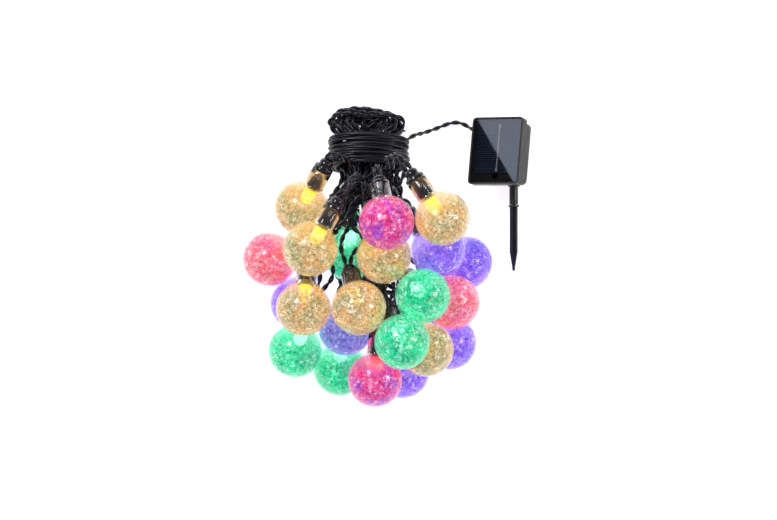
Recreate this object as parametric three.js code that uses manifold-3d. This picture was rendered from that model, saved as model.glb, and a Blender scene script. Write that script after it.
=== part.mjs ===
// Solar string lights, put away as one bundle: 22 crackled globe bulbs on a twisted cord,
// the cord folded into a hank and bound with its own lead, and a small solar unit on a
// ground stake at the lead's far end. Millimetres, +Z up, lying on a flat surface at z = 0.
import * as THREE from 'three';
import { mergeVertices } from 'three/addons/utils/BufferGeometryUtils.js';
import Module from 'manifold-3d';

const wasm = await Module();
wasm.setup();

// ---------------------------------------------------------------- driving dimensions

// one bulb, about its own axis: y = 0 at the globe's centre, +y towards the cord
const GLOBE_RADIUS = 20;
const GLOBE_WALL = 1.2;
const SLEEVE_RADIUS = 7.3;
const SLEEVE_WALL = 1;
const SLEEVE_END = 33;
const HOLDER_RADIUS = 5.9;
const HOLDER_FLANGE_RADIUS = 7.2;
const HOLDER_BODY_RADIUS = 5.2;
const HOLDER_END = 42.5;
const LED_RADIUS = 4.7;
const LED_TIP = 4;

// the cord
const CORD_RADIUS = 1.9;
const TOUCH_GAP = 0.3;

// the hank: its neck is an ellipse, bound by the winding, with the folded ends above it
const HANK_CENTRE = new THREE.Vector3(-13.4, 14, 26.4);
const HANK_TILT_DEG = 18;
const NECK_HALF_WIDTH = 22.6;
const NECK_HALF_DEPTH = 9.6;
const WINDING_HALF_WIDTH = 31.2;
const WINDING_HALF_DEPTH = 18;
const WINDING_HEIGHT = 26;
const FOLDS_WIDTH = 53;
const FOLDS_HEIGHT = 20;
const FOLDS_DEPTH = 25;
const FOLDS_ROUND = 8;
const GATHER_HEIGHT = 7;

// the solar unit
const PANEL_WIDTH = 42;
const PANEL_HEIGHT = 50;
const PANEL_CORNER = 3;
const BEZEL_DEPTH = 6.5;
const BEZEL_WALL = 1.2;
const COVER_THICKNESS = 0.9;
const CELL_WIDTH = 35.6;
const CELL_HEIGHT = 38;
const CELL_THICKNESS = 0.7;
const CASE_WIDTH = 38;
const CASE_HEIGHT = 46;
const CASE_WALL = 1.4;
const CASE_FRONT = 4.1;
const CASE_BACK = 17;
const PIVOT_DEPTH = 30;
const PIVOT_BELOW_CENTRE = 6;
const PANEL_FACE_CENTRE = new THREE.Vector3(79.8, 28.3, 31.7);
const PANEL_TURN_DEG = 30;
const PANEL_TILT_DEG = 10;
const GLAND_HEIGHT = 17.5;
const GLAND_DEPTH = 11.7;
const GLAND_LENGTH = 6;
const GLAND_BORE = 2.35;
const BUTTON_HEIGHT = 16;
const TUBE_RADIUS = 3.25;
const TUBE_BORE = 2.3;
const TUBE_TOP = -8;
const TUBE_END = -28.3;
const SPIKE_TIP = -77.3;
const SPIKE_TAPER = 14;
const SPIKE_HALF_WIDTH = 2.9;
const SPIKE_RIB = 1.6;
const PEG_RADIUS = 2;
const PEG_LENGTH = 12;
const COLLAR_RADIUS = 3.9;
const EAR_INSIDE = 4.2;
const EAR_THICKNESS = 2;
const EAR_RADIUS = 4.6;
const SCREW_RADIUS = 1.5;
const SCREW_CLEARANCE = 0.3;

// how each bulb lies in the pile: colour, place of the globe's centre, the compass
// direction of its holder seen from above (0 is +X, 90 is +Y), and how far that rises
const BULBS = [
  ['gold', -62, -15, 43, 60, 20],
  ['gold', 40, -22, 97, 125, 0],
  ['rose', 0, -26, 98, 100, -38],
  ['rose', -85, -52, 33, 30, -10],
  ['gold', -55, -44, 93, 60, 0],
  ['green', -31, -48, 26, 90, 0],
  ['gold', -3, -53, 67, 105, 0],
  ['violet', 37, -45, 60, 130, 0],
  ['violet', 58, -54, 21, 140, 0],
  ['gold', -59, -87, 77, 85, -20],
  ['gold', -19, -86, 83, 97, -42],
  ['green', 25, -78, 81, 130, -58],
  ['rose', 48, -83, 47, 170, -18],
  ['green', 10, -111, 98, 120, -58],
  ['gold', 29, -117, 58, 130, -20],
  ['violet', 46, -113, 20, 115, 0],
  ['violet', -29, -103, 47, 65, 0],
  ['green', -66, -118, 43, 68, 10],
  ['green', -34, -132, 20, 90, 0],
  ['rose', -8, -138, 60, 85, 5],
  ['violet', 12, -134, 20, 100, 0],
  ['violet', -65, -83, 20, 65, -5],
];

// ---------------------------------------------------------------- materials

function plastic(color, roughness) {
  return new THREE.MeshStandardMaterial({ color, roughness, metalness: 0 });
}

const BLACK = plastic(0x0b0b10, 0.3);
const CORD_BLACK = plastic(0x0a0a14, 0.45);
const CASE_BLACK = plastic(0x1b1b1d, 0.4);
const GLOBE_MATERIALS = {
  gold: plastic(0xe3c07a, 0.15),
  green: plastic(0x12d99a, 0.15),
  rose: plastic(0xf05aa8, 0.15),
  violet: plastic(0x9a6bea, 0.15),
};
const CELL_BLUE = plastic(0x16263f, 0.25);
const COVER_CLEAR = plastic(0x3c4048, 0.08);
const BOARD_GREEN = plastic(0x1d5a33, 0.5);
const BATTERY_WRAP = plastic(0x3f7fae, 0.4);
const SCREW_STEEL = new THREE.MeshStandardMaterial({ color: 0xb9bcc2, roughness: 0.35, metalness: 1 });

// ---------------------------------------------------------------- solid helpers

function radians(degrees) {
  return THREE.MathUtils.degToRad(degrees);
}

function bareGeometry(geometry) {
  const bare = geometry.index ? geometry.toNonIndexed() : geometry.clone();
  bare.deleteAttribute('normal');
  bare.deleteAttribute('uv');
  return mergeVertices(bare, 1e-3);
}

function toSolid(geometry) {
  const bare = bareGeometry(geometry);
  const solid = new wasm.Manifold(new wasm.Mesh({
    numProp: 3,
    vertProperties: bare.attributes.position.array,
    triVerts: new Uint32Array(bare.index.array),
  }));
  return solid;
}

function toGeometry(solid) {
  const mesh = solid.getMesh();
  const geometry = new THREE.BufferGeometry();
  geometry.setAttribute('position', new THREE.BufferAttribute(mesh.vertProperties, 3));
  geometry.setIndex(new THREE.BufferAttribute(mesh.triVerts, 1));
  geometry.computeVertexNormals();
  return geometry;
}

function join(geometries) {
  return toGeometry(geometries.map(toSolid).reduce((whole, next) => whole.add(next)));
}

function cut(geometry, tools) {
  return toGeometry(tools.map(toSolid).reduce((rest, tool) => rest.subtract(tool), toSolid(geometry)));
}

// a solid of revolution about +Y, its profile as [radius, y] pairs from the top down
function lathe(profile, sides) {
  const points = profile.map(([radius, y]) => new THREE.Vector2(radius, y));
  return new THREE.LatheGeometry(points.reverse(), sides);
}

function box(width, height, depth, x, y, z) {
  return new THREE.BoxGeometry(width, height, depth).translate(x, y, z);
}

function rod(radius, length, sides) {
  return new THREE.CylinderGeometry(radius, radius, length, sides);
}

function roundedOutline(width, height, corner) {
  const x = width / 2;
  const y = height / 2;
  const outline = new THREE.Shape();
  outline.moveTo(-x + corner, -y);
  outline.lineTo(x - corner, -y);
  outline.absarc(x - corner, -y + corner, corner, -Math.PI / 2, 0);
  outline.lineTo(x, y - corner);
  outline.absarc(x - corner, y - corner, corner, 0, Math.PI / 2);
  outline.lineTo(-x + corner, y);
  outline.absarc(-x + corner, y - corner, corner, Math.PI / 2, Math.PI);
  outline.lineTo(-x, -y + corner);
  outline.absarc(-x + corner, -y + corner, corner, Math.PI, 1.5 * Math.PI);
  return outline;
}

// a rounded slab between two depths behind the panel's face, which looks along +Z
function slab(width, height, corner, frontDepth, backDepth) {
  const outline = roundedOutline(width, height, corner);
  const settings = { depth: backDepth - frontDepth, bevelEnabled: false, curveSegments: 3 };
  return new THREE.ExtrudeGeometry(outline, settings).translate(0, 0, -backDepth);
}

function named(name, geometry, material) {
  const mesh = new THREE.Mesh(geometry, material);
  mesh.name = name;
  return mesh;
}

// ---------------------------------------------------------------- bulbs

function arc(radius, fromDeg, toDeg, steps) {
  return Array.from({ length: steps + 1 }, (_, i) => {
    const angle = radians(fromDeg + (toDeg - fromDeg) * i / steps);
    return [radius * Math.cos(angle), radius * Math.sin(angle)];
  });
}

// a hollow globe with its clear neck sleeve, open at the sleeve's end
function globeGeometry() {
  const inner = GLOBE_RADIUS - GLOBE_WALL;
  const bore = SLEEVE_RADIUS - SLEEVE_WALL;
  const outerNeck = THREE.MathUtils.radToDeg(Math.acos(SLEEVE_RADIUS / GLOBE_RADIUS));
  const innerNeck = THREE.MathUtils.radToDeg(Math.acos(bore / inner));
  const profile = [
    ...arc(inner, -90, innerNeck, 5),
    [bore, SLEEVE_END],
    [SLEEVE_RADIUS, SLEEVE_END],
    ...arc(GLOBE_RADIUS, outerNeck, -90, 6),
  ];
  return lathe(profile, 9);
}

// the LED's capsule, its holder inside the sleeve, the flange on the sleeve's end, and
// the body that the cord leaves
function holderGeometry() {
  const flange = SLEEVE_END + TOUCH_GAP;
  const profile = [
    [0, HOLDER_END],
    [3.4, HOLDER_END - 0.8],
    [HOLDER_BODY_RADIUS, HOLDER_END - 3],
    [HOLDER_BODY_RADIUS, flange + 4],
    [HOLDER_FLANGE_RADIUS, flange + 2.6],
    [HOLDER_FLANGE_RADIUS, flange],
    [HOLDER_RADIUS, flange],
    [HOLDER_RADIUS, 17],
    [LED_RADIUS, 16],
    [LED_RADIUS, 9],
    [3, LED_TIP + 1.6],
    [0, LED_TIP],
  ];
  return lathe(profile, 8);
}

function bulbAxis(headingDeg, riseDeg) {
  const heading = radians(headingDeg);
  const rise = radians(riseDeg);
  const flat = Math.cos(rise);
  return new THREE.Vector3(flat * Math.cos(heading), flat * Math.sin(heading), Math.sin(rise));
}

// spheres that fill a bulb's outline, as [distance along its axis, radius]
const BULB_BEADS = [[0, GLOBE_RADIUS], [19.5, 7.8], [24, 7.8], [28.5, 7.8], [33, 7.8], [36, 7.6], [39.5, 5.6]];
const BULB_GAP = 0.5;
const SETTLE_ROUNDS = 400;

function beadPlace(bulb, distance) {
  return bulb.centre.clone().addScaledVector(bulb.axis, distance);
}

// moves a bulb by a push at one of its beads, and swings its holder when that bead is on it
function pushBulb(bulb, distance, push) {
  bulb.centre.addScaledVector(push, distance === 0 ? 1 : 0.4);
  if (distance > 0) bulb.axis.addScaledVector(push, 0.6 / distance).normalize();
}

function partBulbs(bulb, other) {
  for (const [distance, radius] of BULB_BEADS) {
    for (const [otherDistance, otherRadius] of BULB_BEADS) {
      const between = beadPlace(bulb, distance).sub(beadPlace(other, otherDistance));
      const short = radius + otherRadius + BULB_GAP - between.length();
      if (short > 0) {
        between.setLength(short / 2);
        pushBulb(bulb, distance, between);
        pushBulb(other, otherDistance, between.negate());
      }
    }
  }
}

function keepOff(bulb, fixedBeads) {
  for (const [distance, radius] of BULB_BEADS) {
    const place = beadPlace(bulb, distance);
    const sunk = radius - place.z;
    if (sunk > 0) pushBulb(bulb, distance, new THREE.Vector3(0, 0, sunk));
    for (const [centre, fixedRadius] of fixedBeads) {
      const between = place.clone().sub(centre);
      const short = radius + fixedRadius + BULB_GAP - between.length();
      if (short > 0) pushBulb(bulb, distance, between.setLength(short));
    }
  }
}

// lets the pile take up its small overlaps, as bulbs do when they are laid down
function settle(bulbs, fixedBeads) {
  for (let round = 0; round < SETTLE_ROUNDS; round += 1) {
    bulbs.forEach((bulb, i) => bulbs.slice(i + 1).forEach((other) => partBulbs(bulb, other)));
    bulbs.forEach((bulb) => keepOff(bulb, fixedBeads));
  }
}

// ---------------------------------------------------------------- hank and cords

const hankGroup = new THREE.Group();
hankGroup.position.copy(HANK_CENTRE);
hankGroup.rotation.x = -radians(HANK_TILT_DEG);
hankGroup.updateMatrixWorld(true);

function ellipse(halfWidth, halfDepth) {
  return new THREE.Shape().absellipse(0, 0, halfWidth, halfDepth, 0, 2 * Math.PI);
}

// an elliptical plug about the hank's +Y axis, between two heights
function hankPlug(shape, low, high) {
  const settings = { depth: high - low, bevelEnabled: false, curveSegments: 18 };
  return new THREE.ExtrudeGeometry(shape, settings).rotateX(Math.PI / 2).translate(0, high, 0);
}

function windingGeometry() {
  const shape = ellipse(WINDING_HALF_WIDTH, WINDING_HALF_DEPTH);
  shape.holes.push(ellipse(NECK_HALF_WIDTH + TOUCH_GAP, NECK_HALF_DEPTH + TOUCH_GAP));
  return hankPlug(shape, 0, WINDING_HEIGHT);
}

// the neck inside the winding, and the folds that bulge above it
function hankGeometry() {
  const neck = hankPlug(ellipse(NECK_HALF_WIDTH, NECK_HALF_DEPTH), 0, WINDING_HEIGHT + FOLDS_HEIGHT / 2);
  const outline = new THREE.Shape();
  const side = FOLDS_WIDTH / 2 - FOLDS_ROUND / 2;
  outline.moveTo(-side, 0);
  outline.lineTo(side, 0);
  outline.lineTo(side, 0.4 * FOLDS_HEIGHT);
  outline.quadraticCurveTo(side, 0.62 * FOLDS_HEIGHT, 0.4 * side, 0.72 * FOLDS_HEIGHT);
  outline.quadraticCurveTo(-0.2 * side, 0.86 * FOLDS_HEIGHT, -0.6 * side, 0.74 * FOLDS_HEIGHT);
  outline.quadraticCurveTo(-side, 0.6 * FOLDS_HEIGHT, -side, 0.3 * FOLDS_HEIGHT);
  const bevel = FOLDS_ROUND / 2;
  const settings = {
    depth: FOLDS_DEPTH - 2 * bevel,
    bevelThickness: bevel,
    bevelSize: bevel,
    bevelSegments: 2,
    curveSegments: 4,
  };
  const base = WINDING_HEIGHT + TOUCH_GAP + bevel;
  const folds = new THREE.ExtrudeGeometry(outline, settings).translate(0, base, bevel - FOLDS_DEPTH / 2);
  return join([neck, folds]);
}

const ROUTE_POINTS = 9;
const ROUTE_ROUNDS = 160;
const CORD_GAP = 0.6;
const GATHER_REACH = 60;

function hankPlace(x, y, z) {
  return hankGroup.localToWorld(new THREE.Vector3(x, y, z));
}

// fixed spheres that fill the winding and the folds
function hankBeads() {
  const beads = [];
  for (const x of [-17, -8, 0, 8, 17]) {
    for (const y of [13, 24, 34]) beads.push([hankPlace(x, y, 0), y > 30 ? 11 : 14]);
  }
  return beads;
}

function clearOf(place, beads) {
  for (const [centre, radius] of beads) {
    const between = place.clone().sub(centre);
    const short = radius + CORD_RADIUS + CORD_GAP - between.length();
    if (short > 0) place.add(between.setLength(short));
  }
  place.z = Math.max(place.z, CORD_RADIUS + CORD_GAP);
}

// moves a place out of the winding, by its nearer way: under its lower end, or beside it
function clearOfWinding(place) {
  const margin = CORD_RADIUS + 2 * CORD_GAP;
  const local = hankGroup.worldToLocal(place.clone());
  const halfWidth = WINDING_HALF_WIDTH + margin;
  const halfDepth = WINDING_HALF_DEPTH + margin;
  const out = Math.hypot(local.x / halfWidth, local.z / halfDepth);
  if (local.y <= -margin || out >= 1) return;
  const under = local.y + margin;
  const beside = (1 / out - 1) * Math.hypot(local.x, local.z);
  if (under < beside) {
    local.y = -margin;
  } else {
    local.x /= out;
    local.z /= out;
  }
  place.copy(hankGroup.localToWorld(local));
}

// one bulb's cord, from the end of its holder to the gather below the hank's neck, eased
// round the globes and holders in its way
function cordRoute(bulb, beads) {
  const start = beadPlace(bulb, HOLDER_END + TOUCH_GAP);
  const lead = beadPlace(bulb, HOLDER_END + 5);
  const across = THREE.MathUtils.clamp((bulb.centre.x - HANK_CENTRE.x) / GATHER_REACH, -1, 1);
  const deep = THREE.MathUtils.clamp((bulb.centre.z - HANK_CENTRE.z) / GATHER_REACH, -1, 1);
  const x = across * (NECK_HALF_WIDTH - 5);
  const z = deep * (NECK_HALF_DEPTH - 3);
  const into = hankPlace(1.1 * x, -GATHER_HEIGHT - 4, z);
  const end = hankPlace(x, -GATHER_HEIGHT / 2, z);
  const bend = beadPlace(bulb, HOLDER_END + 18);
  const first = new THREE.CubicBezierCurve3(lead, bend, hankPlace(1.2 * x, -GATHER_HEIGHT - 16, z), into);
  const route = first.getPoints(ROUTE_POINTS);
  for (let round = 0; round < ROUTE_ROUNDS; round += 1) {
    for (let i = 1; i < route.length - 1; i += 1) {
      const middle = route[i - 1].clone().add(route[i + 1]).multiplyScalar(0.5);
      if (round < ROUTE_ROUNDS - 4) route[i].lerp(middle, 0.4);
      clearOf(route[i], beads);
      clearOfWinding(route[i]);
    }
  }
  return [start, ...route, end];
}

function tube(points, radius, sides, stepsPerPoint) {
  const section = new THREE.Shape().absarc(0, 0, radius, 0, 2 * Math.PI);
  const settings = {
    steps: (points.length - 1) * stepsPerPoint,
    extrudePath: new THREE.CatmullRomCurve3(points, false, 'centripetal'),
    curveSegments: sides / 2,
    bevelEnabled: false,
  };
  return new THREE.ExtrudeGeometry(section, settings);
}

// every bulb's cord joined at the gather, the elliptical plug under the neck
function bulbCordsGeometry(bulbs) {
  const bulbBeads = bulbs.flatMap((bulb) => (
    BULB_BEADS.map(([distance, radius]) => [beadPlace(bulb, distance), radius])
  ));
  const gather = hankPlug(ellipse(NECK_HALF_WIDTH - 1, NECK_HALF_DEPTH - 0.6), -GATHER_HEIGHT, -TOUCH_GAP);
  gather.applyMatrix4(hankGroup.matrixWorld);
  const cords = bulbs.map((bulb) => {
    const route = cordRoute(bulb, bulbBeads);
    return tube(route, CORD_RADIUS, 6, 1);
  });
  return join([gather, ...cords]);
}

// ---------------------------------------------------------------- solar unit

// the panel's own frame: +X right and +Y up across its face, +Z out of it, 0 on the face
function bezelGeometry() {
  const inset = 2 * BEZEL_WALL;
  const pocketWidth = PANEL_WIDTH - inset;
  const pocketHeight = PANEL_HEIGHT - inset;
  const trayFront = 2.5;
  const trayBack = 3.7;
  return cut(slab(PANEL_WIDTH, PANEL_HEIGHT, PANEL_CORNER, 0, BEZEL_DEPTH), [
    slab(pocketWidth, pocketHeight, PANEL_CORNER - 1, -1, trayFront),
    slab(pocketWidth, pocketHeight, PANEL_CORNER - 1, trayBack, BEZEL_DEPTH + 1),
    rod(2.5, 6, 8).rotateX(Math.PI / 2).translate(0, -PANEL_HEIGHT / 2 + 7, -3),
  ]);
}

function coverGeometry() {
  const inset = 2 * BEZEL_WALL + 2 * TOUCH_GAP;
  const front = 0.3;
  return slab(PANEL_WIDTH - inset, PANEL_HEIGHT - inset, 1.6, front, front + COVER_THICKNESS);
}

function cellGeometry() {
  const front = 0.3 + COVER_THICKNESS + TOUCH_GAP;
  return slab(CELL_WIDTH, CELL_HEIGHT, 0.5, front, front + CELL_THICKNESS).translate(0.7, 2.1, 0);
}

const EAR_REACH = PIVOT_DEPTH - CASE_BACK + 1;

// the two ears on the case's back that hold the pivot screw
function hingeEars() {
  return [-1, 1].flatMap((side) => {
    const x = side * (EAR_INSIDE + EAR_THICKNESS / 2);
    const web = box(EAR_THICKNESS, 2 * EAR_RADIUS, EAR_REACH, x, 0, EAR_REACH / 2);
    const eye = rod(EAR_RADIUS, EAR_THICKNESS, 16).rotateZ(Math.PI / 2).translate(x, 0, 0);
    return [web, eye].map((piece) => piece.translate(0, -PIVOT_BELOW_CENTRE, -PIVOT_DEPTH));
  });
}

function caseGeometry() {
  const shell = join([
    slab(CASE_WIDTH, CASE_HEIGHT, 4, CASE_FRONT, CASE_BACK),
    slab(CASE_WIDTH + 2.6, CASE_HEIGHT + 2.6, 4.6, BEZEL_DEPTH + TOUCH_GAP, BEZEL_DEPTH + 1.5),
    ...hingeEars(),
  ]);
  const pocket = slab(CASE_WIDTH - 2 * CASE_WALL, CASE_HEIGHT - 2 * CASE_WALL, 2,
    CASE_FRONT - 1, CASE_BACK - CASE_WALL);
  const buttonHole = rod(3.6, 6, 12).rotateX(Math.PI / 2).translate(0, BUTTON_HEIGHT, -CASE_BACK);
  const glandHole = rod(3.05, 6, 12).rotateZ(Math.PI / 2);
  glandHole.translate(-CASE_WIDTH / 2, GLAND_HEIGHT, -GLAND_DEPTH);
  const screwHole = rod(SCREW_RADIUS + SCREW_CLEARANCE, 30, 12).rotateZ(Math.PI / 2);
  screwHole.translate(0, -PIVOT_BELOW_CENTRE, -PIVOT_DEPTH);
  return cut(shell, [pocket, buttonHole, glandHole, screwHole]);
}

// one rechargeable cell across the case's lower half, with its small positive cap
function batteryGeometry() {
  const radius = 5.25;
  const half = 15;
  const profile = [
    [0, half + 1],
    [1.6, half + 1],
    [1.6, half],
    [radius - 0.6, half],
    [radius, half - 0.6],
    [radius, -half],
    [0, -half],
  ];
  const seat = CASE_BACK - CASE_WALL - TOUCH_GAP - radius;
  return lathe(profile, 16).rotateZ(Math.PI / 2).translate(0, -12, -seat);
}

// the charging board with its chip, coil and tact switch, one assembled piece
function boardGeometry() {
  const front = 7;
  const back = front + 1.2;
  return join([
    box(26, 25, 1.2, 0, 7.5, -(front + back) / 2),
    box(6, 4, 2, -6, 3, -back - 0.8),
    box(6, 6, 3.4, 0, BUTTON_HEIGHT, -back - 1.5),
    rod(2.4, 3, 10).rotateX(Math.PI / 2).translate(7, 3, -back - 1.3),
  ]);
}

// a round cap that shows at the case's back, kept in by its flange, over the tact switch
function buttonGeometry() {
  const profile = [
    [0, 18.2],
    [2.7, 18.2],
    [3.2, 17.8],
    [3.2, 15.2],
    [4.3, 15.2],
    [4.3, 14.2],
    [1.4, 14.2],
    [1.4, 12.8],
    [0, 12.8],
  ];
  return lathe(profile, 12).rotateX(-Math.PI / 2).translate(0, BUTTON_HEIGHT, 0);
}

// the lead's gland on the case's side: nut inside, flange and tapered boot outside
function glandGeometry() {
  const profile = [
    [GLAND_BORE, GLAND_LENGTH],
    [2.8, GLAND_LENGTH],
    [3.1, 1.9],
    [3.4, 1.8],
    [3.4, TOUCH_GAP],
    [2.75, TOUCH_GAP],
    [2.75, -CASE_WALL - TOUCH_GAP],
    [3.1, -CASE_WALL - TOUCH_GAP],
    [3.1, -3.2],
    [GLAND_BORE, -3.2],
    [GLAND_BORE, GLAND_LENGTH],
  ];
  return lathe(profile, 12).rotateZ(Math.PI / 2).translate(-CASE_WIDTH / 2, GLAND_HEIGHT, -GLAND_DEPTH);
}

// the stake's frame: 0 on the pivot, the stake along -Y
function screwGeometry() {
  const head = EAR_INSIDE + EAR_THICKNESS + TOUCH_GAP;
  const profile = [
    [0, head + 1.8],
    [2.4, head + 1.8],
    [3, head + 1],
    [3, head],
    [SCREW_RADIUS, head],
    [SCREW_RADIUS, -head],
    [2.9, -head],
    [2.9, -head - 2],
    [0, -head - 2],
  ];
  return lathe(profile, 12).rotateZ(-Math.PI / 2);
}

function bracketGeometry() {
  const half = EAR_INSIDE - TOUCH_GAP;
  const cupTop = TUBE_TOP + 1.5;
  const cupEnd = -15;
  const body = join([
    rod(EAR_RADIUS, 2 * half, 16).rotateZ(Math.PI / 2),
    box(2 * half, -cupTop, 6, 0, cupTop / 2, 0),
    rod(4.5, cupTop - cupEnd, 16).translate(0, (cupTop + cupEnd) / 2, 0),
  ]);
  const boreTop = TUBE_TOP + TOUCH_GAP;
  return cut(body, [
    rod(SCREW_RADIUS + SCREW_CLEARANCE, 30, 12).rotateZ(Math.PI / 2),
    rod(TUBE_RADIUS + TOUCH_GAP, boreTop - cupEnd + 2, 16).translate(0, (boreTop + cupEnd) / 2 - 1, 0),
  ]);
}

function tubeGeometry() {
  const profile = [
    [TUBE_BORE, TUBE_TOP],
    [TUBE_RADIUS, TUBE_TOP],
    [TUBE_RADIUS, TUBE_END],
    [TUBE_BORE, TUBE_END],
    [TUBE_BORE, TUBE_TOP],
  ];
  return lathe(profile, 16);
}

// a four-ribbed spike with a collar, and a round peg that pushes into the tube
function spikeGeometry() {
  const collarTop = TUBE_END - TOUCH_GAP;
  const collarEnd = collarTop - 1.5;
  const rib = new THREE.Shape();
  rib.moveTo(-SPIKE_HALF_WIDTH, collarEnd + 0.5);
  rib.lineTo(-SPIKE_HALF_WIDTH, SPIKE_TIP + SPIKE_TAPER);
  rib.lineTo(-0.4, SPIKE_TIP);
  rib.lineTo(0.4, SPIKE_TIP);
  rib.lineTo(SPIKE_HALF_WIDTH, SPIKE_TIP + SPIKE_TAPER);
  rib.lineTo(SPIKE_HALF_WIDTH, collarEnd + 0.5);
  const ribs = [0, Math.PI / 2].map((turn) => (
    new THREE.ExtrudeGeometry(rib, { depth: SPIKE_RIB, bevelEnabled: false })
      .translate(0, 0, -SPIKE_RIB / 2)
      .rotateY(turn)
  ));
  const collar = rod(COLLAR_RADIUS, collarTop - collarEnd, 16).translate(0, (collarTop + collarEnd) / 2, 0);
  const peg = rod(PEG_RADIUS, PEG_LENGTH, 12).translate(0, collarTop + PEG_LENGTH / 2 - 0.2, 0);
  return join([collar, peg, ...ribs]);
}

// ---------------------------------------------------------------- the whole object

const bulbs = BULBS.map(([color, x, y, z, heading, rise]) => (
  { color, centre: new THREE.Vector3(x, y, z), axis: bulbAxis(heading, rise) }
));
const fixedBeads = hankBeads();
settle(bulbs, fixedBeads);

const group = new THREE.Group();

function addBulb(bulb, index) {
  const number = String(index + 1).padStart(2, '0');
  const bulbGroup = new THREE.Group();
  bulbGroup.position.copy(bulb.centre);
  bulbGroup.quaternion.setFromUnitVectors(new THREE.Vector3(0, 1, 0), bulb.axis);
  bulbGroup.add(named(`globe_${number}`, globeGeometry(), GLOBE_MATERIALS[bulb.color]));
  bulbGroup.add(named(`socket_${number}`, holderGeometry(), BLACK));
  group.add(bulbGroup);
}
bulbs.forEach(addBulb);

const unitGroup = new THREE.Group();
const panelTilt = new THREE.Group();
const panelGroup = new THREE.Group();
unitGroup.rotation.y = -radians(PANEL_TURN_DEG);
panelTilt.rotation.x = -radians(PANEL_TILT_DEG);
panelGroup.position.set(0, PIVOT_BELOW_CENTRE, PIVOT_DEPTH);
unitGroup.add(panelTilt);
panelTilt.add(panelGroup);
unitGroup.updateMatrixWorld(true);
const faceOffset = panelGroup.getWorldPosition(new THREE.Vector3());
unitGroup.position.copy(PANEL_FACE_CENTRE).sub(faceOffset);
unitGroup.updateMatrixWorld(true);
panelGroup.add(
  named('panel_bezel', bezelGeometry(), CASE_BLACK),
  named('panel_cover', coverGeometry(), COVER_CLEAR),
  named('solar_cell', cellGeometry(), CELL_BLUE),
  named('rear_case', caseGeometry(), CASE_BLACK),
  named('battery_cell', batteryGeometry(), BATTERY_WRAP),
  named('circuit_board', boardGeometry(), BOARD_GREEN),
  named('power_button', buttonGeometry(), CASE_BLACK),
  named('cable_gland', glandGeometry(), BLACK),
);
unitGroup.add(
  named('pivot_screw', screwGeometry(), SCREW_STEEL),
  named('tilt_bracket', bracketGeometry(), CASE_BLACK),
  named('stake_tube', tubeGeometry(), CASE_BLACK),
  named('ground_spike', spikeGeometry(), CASE_BLACK),
);
group.add(unitGroup);

// the lead's free stretch, from the gland's mouth along the surface to the winding's end
const leadStart = panelGroup.localToWorld(
  new THREE.Vector3(-CASE_WIDTH / 2 - GLAND_LENGTH - TOUCH_GAP, GLAND_HEIGHT, -GLAND_DEPTH),
);
const LEAD_ROUTE = [
  [61, 46, 3.6],
  [57.5, 48.8, 2.6],
  [53, 50.3, 2.6],
  [47, 49.6, 2.6],
  [40.4, 46.6, 3],
  [32.1, 43.3, 5.5],
  [25.5, 41, 10],
  [21.5, 39.6, 15],
];
const leadPoints = [leadStart, ...LEAD_ROUTE.map((place) => new THREE.Vector3(...place))];

// the origin goes under the middle of everything but the cord
group.updateMatrixWorld(true);
const hardwareBox = new THREE.Box3().setFromObject(group, true);
const middle = hardwareBox.getCenter(new THREE.Vector3());
group.position.set(-middle.x, -middle.y, -hardwareBox.min.z);

hankGroup.add(
  named('lead_winding', windingGeometry(), CORD_BLACK),
  named('cord_hank', hankGeometry(), CORD_BLACK),
);
group.add(
  hankGroup,
  named('bulb_cords', bulbCordsGeometry(bulbs), CORD_BLACK),
  named('lead_cord', tube(leadPoints, 2.1, 8, 2), CORD_BLACK),
);

export default group;
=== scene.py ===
"""Solar string lights, put away as one bundle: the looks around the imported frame.
Lengths are in metres in the row frame: +Z up from the surface, +Y from the bulbs to the folds."""
import math
import random

import bmesh
import bpy
import numpy as np
from mathutils import Matrix, Vector


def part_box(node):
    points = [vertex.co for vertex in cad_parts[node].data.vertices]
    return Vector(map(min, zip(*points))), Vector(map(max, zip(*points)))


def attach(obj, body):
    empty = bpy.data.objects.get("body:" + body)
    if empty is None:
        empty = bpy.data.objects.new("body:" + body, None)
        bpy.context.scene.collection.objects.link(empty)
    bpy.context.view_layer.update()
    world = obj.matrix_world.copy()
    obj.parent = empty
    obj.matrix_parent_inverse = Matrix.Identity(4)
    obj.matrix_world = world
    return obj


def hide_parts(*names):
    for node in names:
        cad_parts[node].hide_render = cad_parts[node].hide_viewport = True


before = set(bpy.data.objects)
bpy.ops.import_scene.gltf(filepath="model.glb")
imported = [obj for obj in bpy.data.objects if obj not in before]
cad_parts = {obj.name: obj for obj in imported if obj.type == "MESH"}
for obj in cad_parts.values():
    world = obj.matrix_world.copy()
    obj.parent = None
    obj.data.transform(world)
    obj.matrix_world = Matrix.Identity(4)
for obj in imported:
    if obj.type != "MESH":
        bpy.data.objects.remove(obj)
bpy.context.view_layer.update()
scene = bpy.context.scene
MM = 0.001

# ---------------------------------------------------------------- what the frame says

GLOBE_RADIUS = 20 * MM
SLEEVE_RADIUS = 7.3 * MM
SLEEVE_BORE = 6.3 * MM
SLEEVE_END = 33 * MM
HOLDER_RADIUS = 5.9 * MM
HOLDER_END = 42.5 * MM
LED_TIP = 4 * MM
LED_FOOT = 17 * MM
LIFTING = {2: "bulb_02", 3: "bulb_03", 5: "bulb_05"}
BULB_COUNT = 22


def node_points(name):
    """The vertices of a CAD node."""
    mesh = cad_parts[name].data
    points = np.empty(len(mesh.vertices) * 3)
    mesh.vertices.foreach_get("co", points)
    return points.reshape(-1, 3)


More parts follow.
